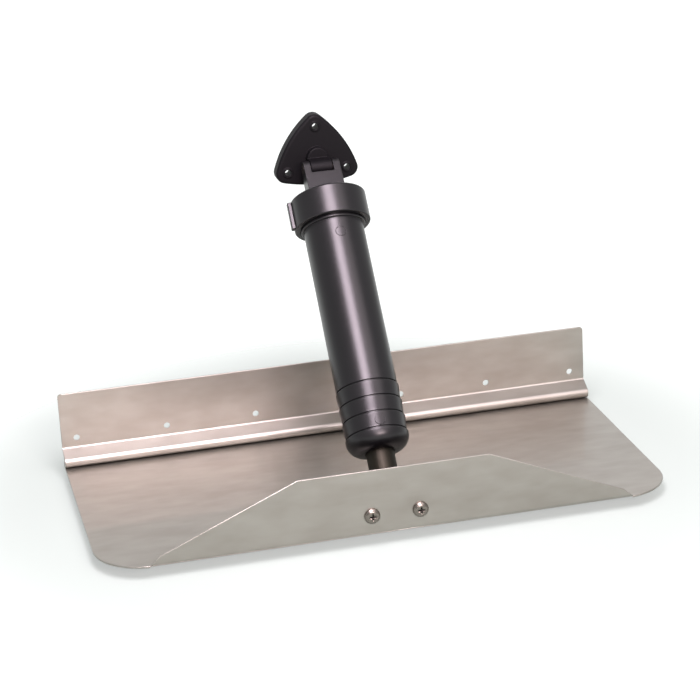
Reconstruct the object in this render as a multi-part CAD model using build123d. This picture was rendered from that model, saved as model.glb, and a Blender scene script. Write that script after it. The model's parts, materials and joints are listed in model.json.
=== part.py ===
from build123d import *
import os
from math import asin, cos, degrees, radians, sin

# Hydraulic boat trim tab, in millimetres.
# Origin: on the transom face, at mid-span, on the line of screw holes in the back plate.
# X runs along the span, Y forward into the boat, Z up. The tab reaches aft, to -Y.

# Fits
RUN_FIT = 0.05            # radial clearance of a turning or sliding pair
SEAT_FIT = 0.02           # radial clearance of a pin or screw in a hole of its own body
SIDE_FIT = 0.3            # clearance each side of a lug in its fork
EPS = 0.5                 # how far a cutting tool reaches past a face

# Sheet metal
SPAN = 457.2
CHORD = 228.6             # transom face to the aft face of the flange
SHEET = 1.6
PLATE_TOP = 39.5          # above the screw holes
PLATE_CORNER_R = 3.0
TAB_CORNER_R = 43.0
FLANGE_INSET = 38.1       # from the tab's side to the flange's end
FLANGE_HEIGHT = 52.0      # above the top of the tab
FLANGE_TOP_HALF = 75.5
FLANGE_FOOT = (7.5, 7.0)  # width and height of the steep foot of the slanted edge
FLANGE_BEND_R = 2.0

# Transom screw holes in the back plate
PLATE_HOLE_R = 2.6
PLATE_HOLES_PER_SIDE = 3
PLATE_HOLE_INSET = 12.7   # outermost hole from the plate's end
PLATE_HOLE_PITCH = 76.2

# Rolled hinge: the tab's edge is rolled round the pin, and the plate's edge round that roll
HINGE_PIN_R = 1.2
HINGE_DROP = 17.5         # pin below the screw holes
HINGE_OUT = 10.2          # pin aft of the transom face
HINGE_GAP = 0.5           # under the plate's roll
SLOPE_ANGLE = 64.0        # bend between the plate and its roll
SLOPE_BEND_R = 2.0
ROLL_TIP_ANGLE = 315.0    # where the plate's roll ends round the pin, from +Y towards +Z
TAB_ROLL_TIP_ANGLE = 325.0
TAB_ROLL_EXIT_ANGLE = 45.0
TAB_NECK_R = 1.5

# Lower bracket, behind the flange
LOWER_PIN_R = 3.97
LOWER_PIN_INSET = 0.5     # pin end below the rod's side
LOWER_PIN_ABOVE = 15.0    # above the top of the tab
LOWER_PIN_OUT = 16.5      # from the flange's inner face
LOWER_BASE = (56.0, 24.0, 5.0)
LOWER_BASE_CORNER_R = 5.0
LOWER_LUG_WIDTH = 8.0
LOWER_LUG_R = 7.5
LOWER_LUG_ROOT = 20.0
SCREW_SPACING = 38.1
SCREW_R = 3.175
SCREW_HEAD_R = 6.2
SCREW_HEAD_HEIGHT = 3.9
SCREW_HEAD_CROWN_R = 9.0
SCREW_HOLE_R = 3.4
RECESS_SPAN = 6.6
RECESS_WIDTH = 1.3
RECESS_DEPTH = 2.2
WASHER_R = 6.2
WASHER_THICKNESS = 1.0
NUT_FLATS = 11.1
NUT_HEIGHT = 5.6
SCREW_TIP = 1.5           # screw past its nut

# Actuator, retracted, measured along its axis from the lower pin
UPPER_PIN_OUT = 24.9      # upper pin aft of the transom face
ROD_R = 11.1
ROD_FORK_DEPTH = 8.0      # slot floor past the lower pin
BARREL_R = 24.3
BORE_R = 19.05
BARREL_FOOT = 41.5        # lower end of the barrel
BARREL_LENGTH = 194.0     # up to the collar
BULB_LENGTH = 12.9
BULB_RISE = 1.1           # proud of the barrel
BULB_END_R = 12.3         # flat round the rod
BULB_SIDE = 0.5           # straight above its rounding
BEAD_COUNT = 4
BEAD_PITCH = 12.9
BEAD_RISE = 1.0
BEAD_TAPER = 9.0          # below the groove
BEAD_CREST = 1.1
BEAD_GROOVE = (1.0, 0.9)  # height and depth of the groove above a bead
COLLAR_LENGTH = 25.0
CLEVIS_REACH = 28.5       # collar's top face to the upper pin
COLLAR_RISE = 6.7         # proud of the barrel
COLLAR_CHAMFER = (1.0, 1.0)
COLLAR_EDGE_R = 1.8
COLLAR_LIP = 4.0
COLLAR_LIP_R = 20.5
THREAD_RISE = 2.6         # proud of the barrel
SHOULDER_RISE = 1.9
SHOULDER_HEIGHT = 2.2
NECK_INSIDE_COLLAR = 1.5
COLLAR_RIB = (5.0, 2.7, 23.5)  # width, rise and length of the rib on the collar
COLLAR_RIB_DROP = 0.5     # its top below the collar's

# Lower end stack inside the barrel
ROD_HOLE_R = 11.6
GLAND_R = 14.5
WIPER_FLOOR = 5.5
WIPER_HEIGHT = 4.0
BUSHING_LENGTH = 8.0
BUSHING_FLANGE = (18.0, 3.0)

# Piston
PISTON_HEIGHT = 12.0
PISTON_CLEARANCE = 0.1
PISTON_SPIGOT_R = 7.0
PISTON_FLOOR = 3.0        # piston crown above the rod's spigot
PISTON_GAP = 1.5          # piston screw to the end cap
SEAL_GROOVE = (3.4, 4.0, 2.0)   # depth, height and place above the piston's foot
GUIDE_GROOVE = (1.6, 3.0, 7.5)
PISTON_SCREW = (3.0, 6.5, 3.0, 16.0)   # shank radius, head radius, head height, length
SPRING_MEAN_R = 15.0
SPRING_WIRE_R = 1.6
SPRING_TURNS = 9

# End cap
CAP_FLANGE_RISE = 0.5     # proud of the barrel's thread
CAP_FLANGE_HEIGHT = 5.0
CAP_PLUG_LENGTH = 12.0
O_RING_WIRE_R = 1.3
O_RING_PLACE = 6.0        # ring below the flange
CLEVIS_WIDTH = 30.0
CLEVIS_GAP = 18.4
CLEVIS_DEPTH = 20.0       # fore and aft, at the collar
CLEVIS_TIP_R = 6.0
CLEVIS_SADDLE = 0.5       # lug to the floor of the gap
DRILLING_R = 1.25

# Upper pin and bracket
UPPER_PIN_R = 3.97
PIN_RING_WIRE_R = 0.9
PIN_RINGS_X = (6.2, 10.9)
BRACKET_THICKNESS = 12.0
BRACKET_EDGE_R = 2.5
TOP_HOLE_ABOVE_PIN = 31.0
LOW_HOLES_BELOW_PIN = 5.4
LOW_HOLE_SPACING = 49.4
BRACKET_HOLE_R = 2.6
HOLE_RIM = (4.2, 1.0)     # radius and rise
OUTLINE_TOP = 11.8        # outline corner above the top hole, before rounding
OUTLINE_SIDE = 11.4       # and outside a lower hole
OUTLINE_FOOT = 6.5        # and below it
OUTLINE_BULGE = 6.0
OUTLINE_CORNER_R = 8.0
BOSS_R = 8.8
BOSS_ABOVE_PIN = 5.5
BOSS_RISE = 5.0           # proud of the plate
BOSS_EDGE_R = 1.2
UPPER_LUG_R = 6.0
PORT_R = 4.3
PORT_DEPTH = 12.0

# Places that follow from the sizes
HINGE_Y, HINGE_Z = -HINGE_OUT, -HINGE_DROP
TAB_ROLL_IN = HINGE_PIN_R + RUN_FIT
TAB_ROLL_OUT = TAB_ROLL_IN + SHEET
ROLL_IN = TAB_ROLL_OUT + RUN_FIT
ROLL_OUT = ROLL_IN + SHEET
TAB_TOP = HINGE_Z - ROLL_OUT - HINGE_GAP
FLANGE_INNER_Y = -CHORD + SHEET
FLANGE_HALF = SPAN / 2 - FLANGE_INSET
LOWER_PIN_Y = FLANGE_INNER_Y + LOWER_PIN_OUT
LOWER_PIN_Z = TAB_TOP + LOWER_PIN_ABOVE
LOWER_BASE_Y = FLANGE_INNER_Y + LOWER_BASE[2]
BULB_R = BARREL_R + BULB_RISE
SHOULDER_R = BARREL_R + SHOULDER_RISE
THREAD_R = BARREL_R + THREAD_RISE
COLLAR_R = BARREL_R + COLLAR_RISE
CAP_FLANGE_R = THREAD_R + CAP_FLANGE_RISE
COLLAR_FOOT = BARREL_FOOT + BARREL_LENGTH
COLLAR_TOP = COLLAR_FOOT + COLLAR_LENGTH
PIN_TO_PIN = COLLAR_TOP + CLEVIS_REACH
LEAN = degrees(asin((-UPPER_PIN_OUT - LOWER_PIN_Y) / PIN_TO_PIN))
UPPER_PIN_Z = LOWER_PIN_Z + PIN_TO_PIN * cos(radians(LEAN))
ACTUATOR = Plane(origin=(0, LOWER_PIN_Y, LOWER_PIN_Z), x_dir=(1, 0, 0),
                 z_dir=(0, sin(radians(LEAN)), cos(radians(LEAN))))
CAP_SEAT = COLLAR_TOP - COLLAR_LIP - CAP_FLANGE_HEIGHT   # top face of the barrel
CAP_FOOT = CAP_SEAT - CAP_PLUG_LENGTH
PISTON_TOP = CAP_FOOT - PISTON_GAP - PISTON_SCREW[2]
PISTON_FOOT = PISTON_TOP - PISTON_HEIGHT
PISTON_R = BORE_R - PISTON_CLEARANCE
WIPER_FOOT = BARREL_FOOT + WIPER_FLOOR
BUSHING_FOOT = WIPER_FOOT + WIPER_HEIGHT
BORE_FLOOR = BUSHING_FOOT + BUSHING_LENGTH
SPRING_FOOT = BORE_FLOOR + BUSHING_FLANGE[1]
CLEVIS_FLOOR = PIN_TO_PIN - UPPER_LUG_R - CLEVIS_SADDLE
UPPER_LUG_WIDTH = CLEVIS_GAP - 2 * SIDE_FIT
PRONG_MID = (CLEVIS_WIDTH + CLEVIS_GAP) / 4
OUTER_HOLE_X = SPAN / 2 - PLATE_HOLE_INSET
PLATE_HOLES_X = [OUTER_HOLE_X - count * PLATE_HOLE_PITCH for count in range(PLATE_HOLES_PER_SIDE)]


def unit(angle):
    """Unit vector at an angle in degrees, in a sketch."""
    return Vector(cos(radians(angle)), sin(radians(angle)))


def bent_strip(start, heading, runs):
    """Section of a bent sheet. start is on its left face; a run is (length, 0) or (inner radius, turn)."""
    left, right = [], []
    point = Vector(*start)
    for size, turn in runs:
        across = unit(heading - 90) * SHEET
        if turn == 0:
            end = point + unit(heading) * size
            left.append(Line(point, end))
            right.append(Line(point + across, end + across))
        else:
            outward = unit(heading + 90) * size if turn > 0 else unit(heading - 90) * (size + SHEET)
            centre = point + outward
            near, far = point - centre, point + across - centre
            end = centre + near.rotate(Axis.Z, turn)
            left.append(ThreePointArc(point, centre + near.rotate(Axis.Z, turn / 2), end))
            right.append(ThreePointArc(centre + far, centre + far.rotate(Axis.Z, turn / 2),
                                       centre + far.rotate(Axis.Z, turn)))
            heading += turn
        point = end
    caps = [Line(left[0] @ 0, right[0] @ 0), Line(left[-1] @ 1, right[-1] @ 1)]
    return make_face(left + right + caps)


def across_span(section, width):
    """A section drawn in Y and Z, extruded to both sides of mid-span."""
    return extrude(Plane.YZ * section, width / 2, both=True)


def rod_x(radius, length, y, z):
    """Round bar along X, centred on mid-span."""
    return Plane(origin=(0, y, z), x_dir=(0, 1, 0), z_dir=(1, 0, 0)) * Cylinder(radius, length)


def rod_y(radius, y_from, y_to, x, z):
    """Round bar along Y."""
    middle = Plane(origin=(x, (y_from + y_to) / 2, z), x_dir=(1, 0, 0), z_dir=(0, 1, 0))
    return middle * Cylinder(radius, y_to - y_from)


def turned(points):
    """Solid of revolution about the actuator's axis from (radius, height) points."""
    profile = make_face(Polyline(*points, close=True))
    return revolve(Plane.XZ * profile, Axis.Z)


def tube(r_in, r_out, foot, top):
    """Plain ring about the actuator's axis."""
    return Pos(0, 0, (foot + top) / 2) * (Cylinder(r_out, top - foot) - Cylinder(r_in, top - foot + 2 * EPS))


def back_plate():
    """Transom plate with its sloped foot and the outer roll of the hinge."""
    heading = -90 - SLOPE_ANGLE
    line = unit(heading + 90)
    bend = SLOPE_BEND_R + SHEET
    bend_y = -bend
    reach = ROLL_IN + bend
    bend_z = HINGE_Z + (-reach - (bend_y - HINGE_Y) * line.X) / line.Y
    bend_end = Vector(bend_y, bend_z) + line * bend
    roll_start = Vector(HINGE_Y, HINGE_Z) - line * ROLL_IN
    slope = (roll_start - bend_end).dot(unit(heading))
    wrap = ROLL_TIP_ANGLE - (heading + 270)
    section = bent_strip((0, PLATE_TOP), -90, [
        (PLATE_TOP - bend_z, 0), (SLOPE_BEND_R, -SLOPE_ANGLE), (slope, 0), (ROLL_IN, wrap)])
    plate = across_span(section, SPAN)
    corners = plate.edges().filter_by(Axis.Y).group_by(Axis.Z)[-1]
    plate = fillet(corners, PLATE_CORNER_R)
    for x in PLATE_HOLES_X:
        for side in (-1, 1):
            plate -= rod_y(PLATE_HOLE_R, -SHEET - EPS, EPS, side * x, 0)
    return plate


def trim_plane():
    """Tab with the inner roll of the hinge, rounded aft corners and the upturned flange."""
    exit_spoke = unit(TAB_ROLL_EXIT_ANGLE)
    neck_out = TAB_NECK_R + SHEET
    neck_centre_z = TAB_TOP - SHEET + neck_out
    leave = Vector(HINGE_Y, HINGE_Z) + exit_spoke * TAB_ROLL_OUT
    neck_start_z = neck_centre_z + exit_spoke.Y * neck_out
    neck_run = (leave.Y - neck_start_z) / cos(radians(TAB_ROLL_EXIT_ANGLE))
    neck_y = leave.X + neck_run * sin(radians(TAB_ROLL_EXIT_ANGLE)) - exit_spoke.X * neck_out
    roll_start = Vector(HINGE_Y, HINGE_Z) + unit(TAB_ROLL_TIP_ANGLE) * TAB_ROLL_OUT
    flange_bend_y = -CHORD + FLANGE_BEND_R + SHEET
    section = bent_strip((roll_start.X, roll_start.Y), TAB_ROLL_TIP_ANGLE - 90, [
        (TAB_ROLL_IN, TAB_ROLL_EXIT_ANGLE - TAB_ROLL_TIP_ANGLE),
        (neck_run, 0),
        (TAB_NECK_R, -90 - TAB_ROLL_EXIT_ANGLE),
        (neck_y + CHORD, 0)])
    tab = across_span(section, SPAN)
    aft = tab.edges().filter_by(Axis.Z).group_by(Axis.Y)[0]
    tab = fillet(aft, TAB_CORNER_R)

    bend = bent_strip((flange_bend_y, TAB_TOP - SHEET), 180, [
        (FLANGE_BEND_R, -90), (FLANGE_HEIGHT - FLANGE_BEND_R, 0)])
    flange = across_span(bend, 2 * FLANGE_HALF)
    foot_x, foot_z = FLANGE_HALF - FLANGE_FOOT[0], TAB_TOP + FLANGE_FOOT[1]
    top_z = TAB_TOP + FLANGE_HEIGHT
    edge = [(FLANGE_TOP_HALF, top_z), (foot_x, foot_z)]
    edge += [(FLANGE_HALF, TAB_TOP), (FLANGE_HALF, TAB_TOP - SHEET)]
    mirrored = [(-x, z) for x, z in reversed(edge)]
    outline = make_face(Polyline(*edge, *mirrored, close=True))
    keep = extrude(Plane.XZ * outline, -2 * CHORD, both=True)
    clear = Pos(0, flange_bend_y - CHORD / 2, TAB_TOP) * Box(2 * FLANGE_HALF, CHORD, 4 * FLANGE_BEND_R)
    tab = tab - clear + (flange & keep)
    for x in (-SCREW_SPACING / 2, SCREW_SPACING / 2):
        tab -= rod_y(SCREW_HOLE_R, -CHORD - EPS, FLANGE_INNER_Y + EPS, x, LOWER_PIN_Z)
    return tab


def hinge_pin():
    """Full-length rod inside the two rolls."""
    return rod_x(HINGE_PIN_R, SPAN, HINGE_Y, HINGE_Z)


def lower_bracket():
    """Base against the flange with one lug for the rod's fork."""
    width, height, depth = LOWER_BASE
    base = Pos(0, LOWER_BASE_Y - depth / 2, LOWER_PIN_Z) * Box(width, depth, height)
    base = fillet(base.edges().filter_by(Axis.Y), LOWER_BASE_CORNER_R)
    root = [Line((LOWER_BASE_Y - EPS, LOWER_PIN_Z - LOWER_LUG_ROOT / 2),
                 (LOWER_BASE_Y - EPS, LOWER_PIN_Z + LOWER_LUG_ROOT / 2))]
    eye = Pos(LOWER_PIN_Y, LOWER_PIN_Z) * Circle(LOWER_LUG_R)
    lug = across_span(make_hull(root + [*eye.edges()]), LOWER_LUG_WIDTH)
    bracket = base + lug - rod_x(LOWER_PIN_R + RUN_FIT, width, LOWER_PIN_Y, LOWER_PIN_Z)
    for x in (-SCREW_SPACING / 2, SCREW_SPACING / 2):
        bracket -= rod_y(SCREW_HOLE_R, FLANGE_INNER_Y - EPS, LOWER_BASE_Y + EPS, x, LOWER_PIN_Z)
    return bracket


def pan_head_screw():
    """Pan head screw with a cross recess, head up, the underside of its head at the origin."""
    length = SHEET + LOWER_BASE[2] + WASHER_THICKNESS + NUT_HEIGHT + SCREW_TIP
    head = Pos(0, 0, SCREW_HEAD_HEIGHT / 2) * Cylinder(SCREW_HEAD_R, SCREW_HEAD_HEIGHT)
    head &= Pos(0, 0, SCREW_HEAD_HEIGHT - SCREW_HEAD_CROWN_R) * Sphere(SCREW_HEAD_CROWN_R)
    screw = head + Pos(0, 0, -length / 2) * Cylinder(SCREW_R, length)
    for turn in (0, 90):
        blade = Pos(0, 0, SCREW_HEAD_HEIGHT) * Box(RECESS_SPAN, RECESS_WIDTH, 2 * RECESS_DEPTH)
        screw -= Rot(0, 0, turn) * blade
    return screw


def pair(piece, y):
    """Two copies on the bracket's screw lines, their +Z turned to point aft."""
    spots = [Plane(origin=(x, y, LOWER_PIN_Z), x_dir=(1, 0, 0), z_dir=(0, -1, 0))
             for x in (-SCREW_SPACING / 2, SCREW_SPACING / 2)]
    return Compound(children=[spot * piece for spot in spots])


def washer():
    """Flat washer below the origin."""
    disc = Cylinder(WASHER_R, WASHER_THICKNESS) - Cylinder(SCREW_HOLE_R, 2 * WASHER_THICKNESS)
    return Pos(0, 0, -WASHER_THICKNESS / 2) * disc


def nut():
    """Hexagon nut below the origin."""
    body = extrude(RegularPolygon(NUT_FLATS / 2, 6, major_radius=False), -NUT_HEIGHT)
    return body - Cylinder(SCREW_R + SEAT_FIT, 3 * NUT_HEIGHT)


def cross_drilled(piece, radius, at):
    """A piece in the actuator's frame with a cross hole along X."""
    return piece - Pos(0, 0, at) * (Rot(0, 90, 0) * Cylinder(radius, 4 * COLLAR_R))


def piston_rod():
    """Rod with a slotted, rounded lower end and a spigot for the piston."""
    spigot_top = PISTON_TOP - PISTON_FLOOR
    rod = Pos(0, 0, PISTON_FOOT / 2) * Cylinder(ROD_R, PISTON_FOOT)
    rod += Rot(0, 90, 0) * Cylinder(ROD_R, 2 * ROD_R) & Cylinder(ROD_R, 2 * ROD_R)
    rod += Pos(0, 0, (PISTON_FOOT + spigot_top) / 2) * Cylinder(PISTON_SPIGOT_R, spigot_top - PISTON_FOOT)
    slot = LOWER_LUG_WIDTH + 2 * SIDE_FIT
    rod -= Pos(0, 0, ROD_FORK_DEPTH - 2 * ROD_R) * Box(slot, 4 * ROD_R, 4 * ROD_R)
    rod = cross_drilled(rod, LOWER_PIN_R + SEAT_FIT, 0)
    shank_r, _, _, length = PISTON_SCREW
    return rod - Pos(0, 0, PISTON_TOP - length / 2) * Cylinder(shank_r + SEAT_FIT, length)


def piston():
    """Piston with a crown over the rod's spigot and two ring grooves."""
    body = tube(PISTON_SPIGOT_R + SEAT_FIT, PISTON_R, PISTON_FOOT, PISTON_TOP)
    floor = tube(PISTON_SCREW[0] + SEAT_FIT, PISTON_SPIGOT_R + EPS, PISTON_TOP - PISTON_FLOOR, PISTON_TOP)
    body += floor
    for depth, height, place in (SEAL_GROOVE, GUIDE_GROOVE):
        body -= tube(PISTON_R - depth, PISTON_R + EPS, PISTON_FOOT + place, PISTON_FOOT + place + height)
    return body


def piston_ring(groove):
    """Ring that fills a piston groove and runs in the bore."""
    depth, height, place = groove
    foot = PISTON_FOOT + place
    return tube(PISTON_R - depth, BORE_R - RUN_FIT, foot, foot + height)


def piston_screw():
    """Socket screw that holds the piston on the rod."""
    shank_r, head_r, head_height, length = PISTON_SCREW
    head = Pos(0, 0, PISTON_TOP + head_height / 2) * Cylinder(head_r, head_height)
    socket = Pos(0, 0, PISTON_TOP + head_height) * extrude(RegularPolygon(shank_r, 6), -head_height / 2)
    return head + Pos(0, 0, PISTON_TOP - length / 2) * Cylinder(shank_r, length) - socket


def return_spring():
    """Coil spring between the bushing and the piston."""
    lift = PISTON_FOOT - SPRING_FOOT - 2 * SPRING_WIRE_R
    path = Helix(lift / SPRING_TURNS, lift, SPRING_MEAN_R)
    section = Plane(origin=path @ 0, z_dir=path % 0) * Circle(SPRING_WIRE_R)
    return Pos(0, 0, SPRING_FOOT + SPRING_WIRE_R) * sweep(section, path, is_frenet=True)


def barrel():
    """Moulded cylinder with a bulbous foot, four grip beads and a neck for the collar."""
    last_bead = BARREL_FOOT + BULB_LENGTH
    groove_height, groove_depth = BEAD_GROOVE
    neck_foot = COLLAR_FOOT + NECK_INSIDE_COLLAR
    rounding = BULB_LENGTH - BULB_SIDE
    bulb_side = BARREL_FOOT + rounding
    bulb = [Line((ROD_HOLE_R, BARREL_FOOT), (BULB_END_R, BARREL_FOOT)),
            EllipticalCenterArc((BULB_END_R, bulb_side), BULB_R - BULB_END_R, rounding,
                                start_angle=270, arc_size=90)]
    points = [(BULB_R, bulb_side), (BULB_R, last_bead)]
    for count in range(BEAD_COUNT):
        shoulder = last_bead + count * BEAD_PITCH
        if count:
            points += [(BARREL_R, shoulder - BEAD_TAPER), (BARREL_R + BEAD_RISE, shoulder - BEAD_CREST),
                       (BARREL_R + BEAD_RISE, shoulder)]
        points += [(BARREL_R - groove_depth, shoulder), (BARREL_R - groove_depth, shoulder + groove_height),
                   (BARREL_R, shoulder + groove_height)]
    points += [(BARREL_R, COLLAR_FOOT - SHOULDER_HEIGHT), (SHOULDER_R, COLLAR_FOOT - SHOULDER_HEIGHT),
               (SHOULDER_R, neck_foot), (THREAD_R, neck_foot), (THREAD_R, CAP_SEAT), (BORE_R, CAP_SEAT),
               (BORE_R, BORE_FLOOR), (GLAND_R, BORE_FLOOR), (GLAND_R, WIPER_FOOT), (ROD_HOLE_R, WIPER_FOOT),
               (ROD_HOLE_R, BARREL_FOOT)]
    profile = make_face(bulb + [Polyline(*points)])
    return revolve(Plane.XZ * profile, Axis.Z)


def rod_wiper():
    """Ring that wipes the rod at the barrel's foot."""
    return tube(ROD_R + RUN_FIT, GLAND_R - SEAT_FIT, WIPER_FOOT, BUSHING_FOOT)


def rod_bushing():
    """Flanged guide bush for the rod."""
    flange_r, flange_height = BUSHING_FLANGE
    sleeve = tube(ROD_R + RUN_FIT, GLAND_R - SEAT_FIT, BUSHING_FOOT, SPRING_FOOT)
    return sleeve + tube(ROD_R + RUN_FIT, flange_r, BORE_FLOOR, SPRING_FOOT)


def collar_nut():
    """Ring nut that clamps the end cap, with a chamfered foot and one side rib."""
    inset, rise = COLLAR_CHAMFER
    ring_nut = turned([
        (THREAD_R + RUN_FIT, COLLAR_FOOT), (COLLAR_R - inset, COLLAR_FOOT), (COLLAR_R, COLLAR_FOOT + rise),
        (COLLAR_R, COLLAR_TOP), (COLLAR_LIP_R, COLLAR_TOP), (COLLAR_LIP_R, COLLAR_TOP - COLLAR_LIP),
        (CAP_FLANGE_R + RUN_FIT, COLLAR_TOP - COLLAR_LIP), (CAP_FLANGE_R + RUN_FIT, CAP_SEAT),
        (THREAD_R + RUN_FIT, CAP_SEAT)])
    rim = ring_nut.edges().filter_by(GeomType.CIRCLE).group_by(Axis.Z)[-1].sort_by(SortBy.RADIUS)[-1]
    ring_nut = fillet(rim, COLLAR_EDGE_R)
    width, proud, length = COLLAR_RIB
    foot = COLLAR_TOP - COLLAR_RIB_DROP - length
    reach = proud + 2 * COLLAR_EDGE_R
    rib = Pos(-COLLAR_R - proud + reach / 2, 0, foot + length / 2) * Box(reach, width, length)
    rib = fillet(rib.edges().filter_by(Axis.Z).group_by(Axis.X)[0], proud / 2)
    inside = Pos(0, 0, foot + length / 2) * Cylinder(COLLAR_R - COLLAR_EDGE_R, 2 * length)
    return ring_nut + (rib - inside)


def end_cap():
    """Plug, flange and the two-prong clevis, with the oil drilling up one prong."""
    cap = Pos(0, 0, (CAP_FOOT + CAP_SEAT) / 2) * Cylinder(BORE_R - RUN_FIT, CAP_PLUG_LENGTH)
    cap += Pos(0, 0, CAP_SEAT + CAP_FLANGE_HEIGHT / 2) * Cylinder(CAP_FLANGE_R, CAP_FLANGE_HEIGHT)
    groove_z = CAP_SEAT - O_RING_PLACE
    cap -= tube(BORE_R - 2 * O_RING_WIRE_R, BORE_R + EPS, groove_z - O_RING_WIRE_R, groove_z + O_RING_WIRE_R)
    root = CAP_SEAT + CAP_FLANGE_HEIGHT
    side = [Line((-CLEVIS_DEPTH / 2, root), (CLEVIS_DEPTH / 2, root))]
    tip = Pos(0, PIN_TO_PIN) * Circle(CLEVIS_TIP_R)
    cap += across_span(make_hull(side + [*tip.edges()]), CLEVIS_WIDTH)
    gap_top = PIN_TO_PIN + 2 * CLEVIS_TIP_R
    cap -= Pos(0, 0, (CLEVIS_FLOOR + gap_top) / 2) * Box(CLEVIS_GAP, 2 * CLEVIS_DEPTH, gap_top - CLEVIS_FLOOR)
    cap = cross_drilled(cap, UPPER_PIN_R + SEAT_FIT, PIN_TO_PIN)
    drill = PIN_TO_PIN - CAP_FOOT
    return cap - Pos(PRONG_MID, 0, CAP_FOOT + drill / 2 - EPS) * Cylinder(DRILLING_R, drill)


def end_cap_o_ring():
    """Ring that seals the plug in the bore."""
    wire = O_RING_WIRE_R - RUN_FIT
    return Pos(0, 0, CAP_SEAT - O_RING_PLACE) * Torus(BORE_R - RUN_FIT - O_RING_WIRE_R, wire)


def upper_pivot_pin():
    """Flush pin with ring grooves, a centre drilling and two cross drillings for the oil."""
    groove = tube(UPPER_PIN_R - 2 * PIN_RING_WIRE_R, UPPER_PIN_R + EPS, -PIN_RING_WIRE_R, PIN_RING_WIRE_R)
    pin = Cylinder(UPPER_PIN_R, CLEVIS_WIDTH)
    for x in PIN_RINGS_X:
        for side in (-1, 1):
            pin -= Pos(0, 0, side * x) * groove
    pin -= Pos(0, 0, PRONG_MID / 2) * Cylinder(DRILLING_R, PRONG_MID + 2 * DRILLING_R)
    for x in (0, PRONG_MID):
        pin -= Pos(0, 0, x) * (Rot(90, 0, 0) * Cylinder(DRILLING_R, 3 * UPPER_PIN_R))
    return pin


def pivot_pin_o_rings():
    """Four rings that seal the oil's way through the pin."""
    wire = PIN_RING_WIRE_R - RUN_FIT
    spots = [side * x for x in PIN_RINGS_X for side in (-1, 1)]
    return Compound(children=[Pos(0, 0, x) * Torus(UPPER_PIN_R - PIN_RING_WIRE_R, wire) for x in spots])


def bracket_outline():
    """Rounded triangle with bulging sides, in X and Z."""
    top = Vector(0, UPPER_PIN_Z + TOP_HOLE_ABOVE_PIN + OUTLINE_TOP)
    side_x = LOW_HOLE_SPACING / 2 + OUTLINE_SIDE
    foot_z = UPPER_PIN_Z - LOW_HOLES_BELOW_PIN - OUTLINE_FOOT
    corners = [top, Vector(side_x, foot_z), Vector(-side_x, foot_z)]
    sides = []
    for start, end in zip(corners, corners[1:] + corners[:1]):
        chord = end - start
        outward = Vector(-chord.Y, chord.X).normalized()
        sides.append(ThreePointArc(start, (start + end) * 0.5 + outward * OUTLINE_BULGE, end))
    face = make_face(sides)
    return fillet(face.vertices(), OUTLINE_CORNER_R)


def upper_bracket():
    """Three-screw transom bracket with the oil port behind and the lug in front."""
    plate = extrude(Plane.XZ * bracket_outline(), BRACKET_THICKNESS)
    front = plate.edges().group_by(Axis.Y)[0]
    plate = fillet(front, BRACKET_EDGE_R)
    boss_z = UPPER_PIN_Z + BOSS_ABOVE_PIN
    boss = rod_y(BOSS_R, -BRACKET_THICKNESS - BOSS_RISE, -BRACKET_THICKNESS + EPS, 0, boss_z)
    boss = fillet(boss.edges().group_by(Axis.Y)[0], BOSS_EDGE_R)
    root_y = -BRACKET_THICKNESS + EPS
    root = [Line((root_y, UPPER_PIN_Z - UPPER_LUG_R), (root_y, UPPER_PIN_Z + UPPER_LUG_R))]
    eye = Pos(-UPPER_PIN_OUT, UPPER_PIN_Z) * Circle(UPPER_LUG_R)
    lug = across_span(make_hull(root + [*eye.edges()]), UPPER_LUG_WIDTH)
    holes = [(0, UPPER_PIN_Z + TOP_HOLE_ABOVE_PIN)]
    holes += [(side * LOW_HOLE_SPACING / 2, UPPER_PIN_Z - LOW_HOLES_BELOW_PIN) for side in (-1, 1)]
    rim_r, rim_rise = HOLE_RIM
    bracket = plate + boss + lug
    for x, z in holes:
        bracket += rod_y(rim_r, -BRACKET_THICKNESS - rim_rise, -BRACKET_THICKNESS + EPS, x, z)
    for x, z in holes:
        bracket -= rod_y(BRACKET_HOLE_R, -BRACKET_THICKNESS - 2 * rim_rise, EPS, x, z)
    bracket -= rod_x(UPPER_PIN_R + RUN_FIT, CLEVIS_WIDTH, -UPPER_PIN_OUT, UPPER_PIN_Z)
    bracket -= rod_y(PORT_R, -PORT_DEPTH, EPS, 0, UPPER_PIN_Z)
    return bracket - rod_y(DRILLING_R, -UPPER_PIN_OUT, 0, 0, UPPER_PIN_Z)


UPPER_PIN = Plane(origin=(0, -UPPER_PIN_OUT, UPPER_PIN_Z), x_dir=(0, 1, 0), z_dir=(1, 0, 0))

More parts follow.
